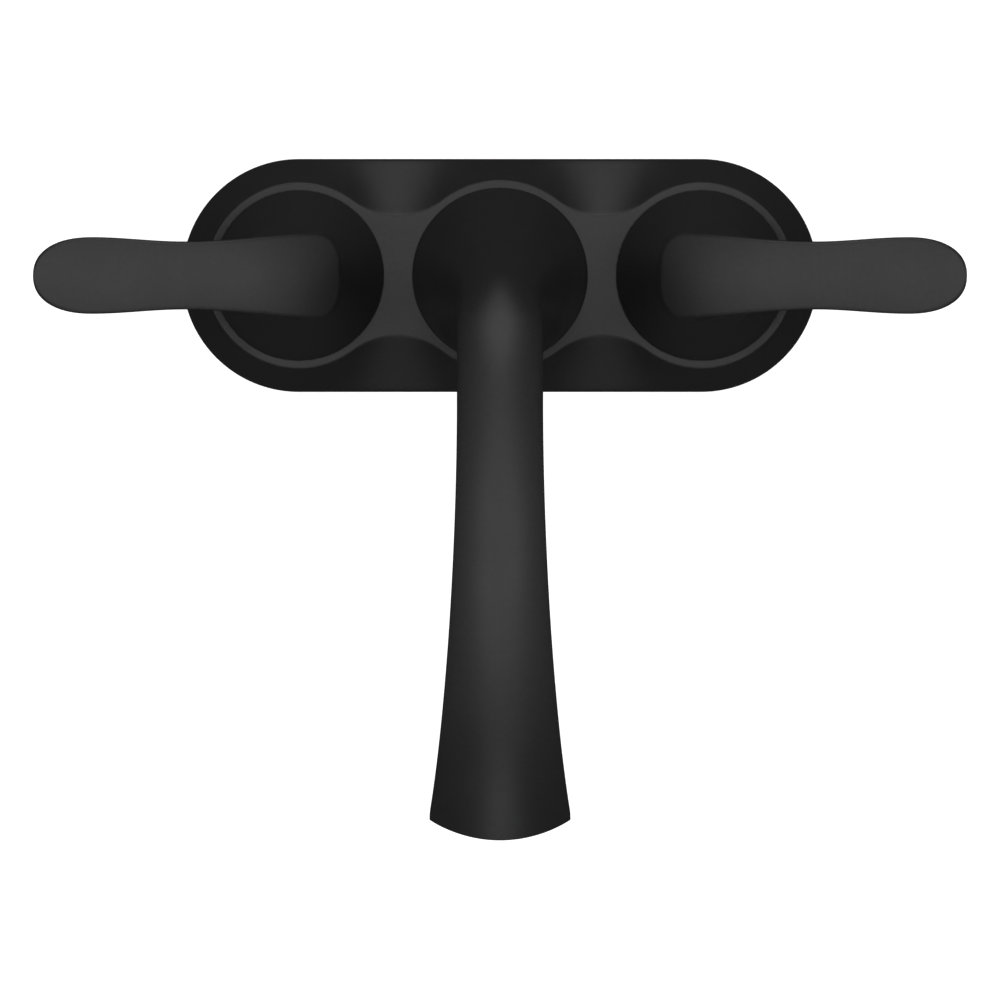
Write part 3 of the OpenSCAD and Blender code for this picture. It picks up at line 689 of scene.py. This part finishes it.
def valve_body(name):
    """The brass body: its shank is threaded from its foot to just under the deck's top."""
    foot, thread_top = -SHANK_L, -4.0
    angle = np.linspace(0, 2 * math.pi, 80, endpoint=False)
    end = ((6.5, foot), (SHANK_R - 1.4, foot), (SHANK_R - 0.8, foot + 0.8))
    rings = [circle(r, z, 80) for r, z in end]
    for z in np.arange(foot + 1, thread_top, THREAD_PITCH / 10):
        fade = ease((z - foot - 0.6) / 1.5) * ease((thread_top - z) / 1.5)
        r = SHANK_R - THREAD_DEPTH * lerp(0.5 * (z < -SHANK_L / 2), thread_cut(z, angle), fade)
        rings.append(np.column_stack([r * np.cos(angle), r * np.sin(angle), np.full(80, z)]))
    upper = [
        (SHANK_R, thread_top), (SHANK_R, 2.0), (14.6, 2.0), (15.0, 2.4), (15.0, 13.6), (14.6, 14.0),
        (12.5, 14.0), (12.5, 26.6), (12.1, 27.0), (9.4, 27.0), (9.0, 26.6), (9.0, 5.0), (4.5, 5.0),
        (4.5, 2.5), (6.5, 2.5),
    ]
    rings += [circle(r, z, 80) for r, z in upper]
    body = ring_solid(name, rings, loop=True)
    combine(body, rod("port", 3.0, -16.0, -1.0, 8.5))
    combine(body, rod("socket", 4.05, -16.0, -11.0, 8.5))
    return body


def deck_washer(name):
    top = -DECK_T
    profile = [(SHANK_R + 0.4, top - 2), (20.0, top - 2), (20.0, top), (SHANK_R + 0.4, top)]
    return turned(name, softened(profile, 0.5), 128)


def mounting_nut(name):
    """A moulded wing nut: a flange, a hub and four wings."""
    top = -DECK_T - 2
    bore = SHANK_R + 0.05
    hub = [(bore, top - 11), (14.0, top - 11), (13.6, top - 3)]
    flange = [(18.0, top - 3), (18.0, top), (bore, top)]
    nut = turned(name, softened(hub + flange, 0.8), 128)
    for i in range(4):
        a = math.radians(45 + 90 * i)
        out, across = np.array([math.cos(a), math.sin(a)]), np.array([-math.sin(a), math.cos(a)])
        section = softened([(12.5, -1.5), (19.0, -1.1), (19.0, 1.1), (12.5, 1.5)], 0.9)
        rings = []
        for z, inset in ((top - 11, 0.6), (top - 10.4, 0.15), (top - 9.8, 0), (top - 2, 0)):
            length = [p[0] - inset * (p[0] > 13) for p in section]
            width = [p[1] * (1 - inset / 3) for p in section]
            flat = np.outer(length, out) + np.outer(width, across)
            rings.append(np.column_stack([flat, np.full(len(flat), z)]))
        combine(nut, ring_solid("wing", rings), "UNION")
    return nut


# ---- Materials ----


class Nodes:
    """Short calls that add shader nodes to a material."""

    def __init__(self, name):
        self.material = bpy.data.materials.new(name)
        self.material.use_nodes = True
        self.tree = self.material.node_tree
        self.shader = self.tree.nodes["Principled BSDF"]
        self.place = self.tree.nodes.new("ShaderNodeTexCoord").outputs["Object"]

    def add(self, kind, **values):
        node = self.tree.nodes.new(kind)
        for key, value in values.items():
            setattr(node, key, value)
        return node

    def link(self, a, b):
        self.tree.links.new(a, b)

    def noise(self, scale, detail=4.0, rough=0.5, stretch=(1, 1, 1)):
        """Noise in object space: scale is in cells per metre."""
        mapping = self.add("ShaderNodeMapping")
        mapping.inputs["Scale"].default_value = stretch
        self.link(self.place, mapping.inputs["Vector"])
        texture = self.add("ShaderNodeTexNoise")
        texture.inputs["Scale"].default_value = scale
        texture.inputs["Detail"].default_value = detail
        texture.inputs["Roughness"].default_value = rough
        self.link(mapping.outputs["Vector"], texture.inputs["Vector"])
        return texture.outputs["Fac"]

    def spread(self, source, low, high, start=0.3, end=0.7):
        """The source from start to end, as numbers from low to high."""
        change = self.add("ShaderNodeMapRange")
        change.inputs["From Min"].default_value = start
        change.inputs["From Max"].default_value = end
        change.inputs["To Min"].default_value = low
        change.inputs["To Max"].default_value = high
        self.link(source, change.inputs["Value"])
        return change.outputs["Result"]

    def colours(self, source, low, high):
        ramp = self.add("ShaderNodeValToRGB")
        ramp.color_ramp.elements[0].position = 0.3
        ramp.color_ramp.elements[1].position = 0.7
        ramp.color_ramp.elements[0].color = (*low, 1)
        ramp.color_ramp.elements[1].color = (*high, 1)
        self.link(source, ramp.inputs["Fac"])
        self.link(ramp.outputs["Color"], self.shader.inputs["Base Color"])

    def roughness(self, source, low, high):
        self.link(self.spread(source, low, high), self.shader.inputs["Roughness"])

    def bump(self, source, strength, depth_mm, after=None):
        """Raises the surface by the source; after is an earlier bump to add to."""
        bump = self.add("ShaderNodeBump")
        bump.inputs["Strength"].default_value = strength
        bump.inputs["Distance"].default_value = depth_mm * MM
        self.link(source, bump.inputs["Height"])
        if after:
            self.link(after, bump.inputs["Normal"])
        self.link(bump.outputs["Normal"], self.shader.inputs["Normal"])
        return bump.outputs["Normal"]


def matte_black():
    """Fine powder coat on a polished casting."""
    n = Nodes("matte_black")
    cloud, grain = n.noise(60, 3), n.noise(2600, 3, 0.6)
    n.colours(n.noise(900, 4), (0.019, 0.019, 0.0195), (0.023, 0.023, 0.0235))
    n.roughness(cloud, 0.40, 0.48)
    swell = n.bump(n.noise(140, 2), 0.25, 0.05)
    n.bump(grain, 0.12, 0.02, swell)
    return n.material


def metal(name, dark, light, rough, grain_stretch):
    """Machined metal: fine turning lines and a slight, uneven tarnish."""
    n = Nodes(name)
    n.shader.inputs["Metallic"].default_value = 1.0
    n.colours(n.noise(180, 5, 0.6), dark, light)
    n.roughness(n.noise(420, 4), rough - 0.06, rough + 0.08)
    lines = n.bump(n.noise(300, 3, 0.6, grain_stretch), 0.25, 0.03)
    n.bump(n.noise(3000, 2), 0.1, 0.01, lines)
    return n.material


def moulded(name, dark, light, rough, grain=2200, depth=0.02):
    """Moulded plastic or rubber with a fine textured skin."""
    n = Nodes(name)
    n.colours(n.noise(240, 4), dark, light)
    n.roughness(n.noise(320, 3), rough - 0.05, rough + 0.07)
    flow = n.bump(n.noise(160, 2), 0.2, 0.05)
    n.bump(n.noise(grain, 3, 0.6), 0.3, depth, flow)
    return n.material


def finishes():
    """Each of the record's material slots, as a material."""
    white_nylon = moulded("white_nylon", (0.68, 0.68, 0.64), (0.76, 0.76, 0.72), 0.42)
    shader = white_nylon.node_tree.nodes["Principled BSDF"]
    shader.inputs["Subsurface Weight"].default_value = 0.1
    shader.inputs["Subsurface Radius"].default_value = (0.002, 0.002, 0.0018)
    return {
        "matte_black": matte_black(),
        "brass": metal("brass", (0.62, 0.43, 0.18), (0.76, 0.56, 0.27), 0.3, (1, 1, 14)),
        "copper": metal("copper", (0.60, 0.28, 0.17), (0.74, 0.38, 0.25), 0.32, (6, 1, 1)),
        "steel": metal("steel", (0.50, 0.51, 0.53), (0.64, 0.65, 0.66), 0.34, (1, 1, 10)),
        "rubber": moulded("rubber", (0.016, 0.016, 0.017), (0.026, 0.026, 0.027), 0.72),
        "ceramic": moulded("ceramic", (0.80, 0.79, 0.75), (0.86, 0.85, 0.82), 0.25, 3000, 0.005),
        "white_nylon": white_nylon,
        "tube_plastic": moulded("tube_plastic", (0.52, 0.54, 0.54), (0.60, 0.62, 0.62), 0.35),
        "dark_plastic": moulded("dark_plastic", (0.036, 0.038, 0.041), (0.050, 0.052, 0.055), 0.5),
    }


# ---- Scene ----


def camera():
    """Straight down and without perspective, as a drawing in plan."""
    data = bpy.data.cameras.new("camera")
    data.type = "ORTHO"
    data.ortho_scale = PICTURE_SIDE * MM
    data.clip_end = 20
    obj = bpy.data.objects.new("camera", data)
    obj.location = (0, PICTURE_Y * MM, 0.9)
    bpy.context.scene.collection.objects.link(obj)
    bpy.context.scene.camera = obj


def softbox(name, place_m, size, power, aim=(0, -0.05, 0.05)):
    """A square area light that faces the faucet and isn't seen itself."""
    data = bpy.data.lights.new(name, "AREA")
    data.shape = "SQUARE"
    data.size = size
    data.energy = power
    obj = bpy.data.objects.new(name, data)
    obj.location = place_m
    away = obj.location - type(obj.location)(aim)
    obj.rotation_euler = away.to_track_quat("Z", "Y").to_euler()
    obj.visible_camera = False
    bpy.context.scene.collection.objects.link(obj)


def world(seen, given):
    """A plain white surround, which gives the faucet less light than the camera sees."""
    w = bpy.data.worlds.new("studio")
    bpy.context.scene.world = w
    w.use_nodes = True
    tree = w.node_tree
    back = tree.nodes["Background"]
    back.inputs["Color"].default_value = (1, 1, 1, 1)
    ray = tree.nodes.new("ShaderNodeLightPath")
    level = tree.nodes.new("ShaderNodeMapRange")
    level.inputs["To Min"].default_value = given
    level.inputs["To Max"].default_value = seen
    tree.links.new(ray.outputs["Is Camera Ray"], level.inputs["Value"])
    tree.links.new(level.outputs["Result"], back.inputs["Strength"])


def floor():
    """A plain, pale floor just under the ends of the shanks, which throws no light back up."""
    z = -SHANK_L - 0.5
    reach = 3000
    corners = ((-reach, -reach), (reach, -reach), (reach, reach), (-reach, reach))
    obj = new_object("floor", [(x, y, z) for x, y in corners], [(0, 1, 2, 3)])
    n = Nodes("floor")
    n.colours(n.noise(30, 2), (0.80, 0.80, 0.80), (0.82, 0.82, 0.82))
    n.shader.inputs["Roughness"].default_value = 0.9
    n.shader.inputs["Specular IOR Level"].default_value = 0.1
    ray = n.add("ShaderNodeLightPath")
    glow = n.add("ShaderNodeEmission")
    seen = n.add("ShaderNodeMath", operation="MULTIPLY")
    seen.inputs[1].default_value = 0.85
    n.link(ray.outputs["Is Camera Ray"], seen.inputs[0])
    n.link(seen.outputs[0], glow.inputs["Strength"])
    both = n.add("ShaderNodeAddShader")
    n.link(n.shader.outputs[0], both.inputs[0])
    n.link(glow.outputs[0], both.inputs[1])
    n.link(both.outputs[0], n.tree.nodes["Material Output"].inputs["Surface"])
    obj.data.materials.append(n.material)
    obj.visible_diffuse = False
    obj.visible_glossy = False


def build():
    camera()
    finish = finishes()
    black = finish["matte_black"]
    for part in frame["record"]["subparts"]:
        node = frame["nodes"][part["node"]]
        node.data.materials.clear()
        node.data.materials.append(finish[part["material_slot"]])
        node.data.shade_smooth()
        node.data.set_sharp_from_angle(angle=math.radians(30))

    place(base_plate(), black, "faucet", "base_plate")
    place(spout_body(), black, "faucet", "spout_body")
    for side, obj in both_sides(handle, "handle_cast").items():
        place(obj, black, f"{side}_handle_unit", f"{side}_handle")
    for side, obj in both_sides(valve_body, "valve_body_turned").items():
        place(obj, finish["brass"], "faucet", f"{side}_valve_body")
    for side, obj in both_sides(deck_washer, "deck_washer_pressed").items():
        place(obj, finish["steel"], "faucet", f"{side}_deck_washer")
    for side, obj in both_sides(mounting_nut, "mounting_nut_moulded").items():
        place(obj, finish["dark_plastic"], "faucet", f"{side}_mounting_nut")

    bpy.context.scene.view_settings.view_transform = "Standard"
    world(1.0, 0.044)
    softbox("overhead", (0, 0, 1.5), 1.6, 8.8)
    softbox("back", (0, 1.5, 0.9), 0.8, 5.3)
    softbox("back_low", (0, 1.6, 0.4), 0.6, 0.7)
    softbox("front", (0, -1.5, 0.9), 0.8, 2.9)
    for name, side in (("left", -1), ("right", 1)):
        softbox(f"{name}_high", (side * 1.0, 0, 1.4), 0.8, 2.45)
        softbox(f"{name}_low", (side * 1.5, 0, 0.7), 0.8, 0.85)
    floor()


build()
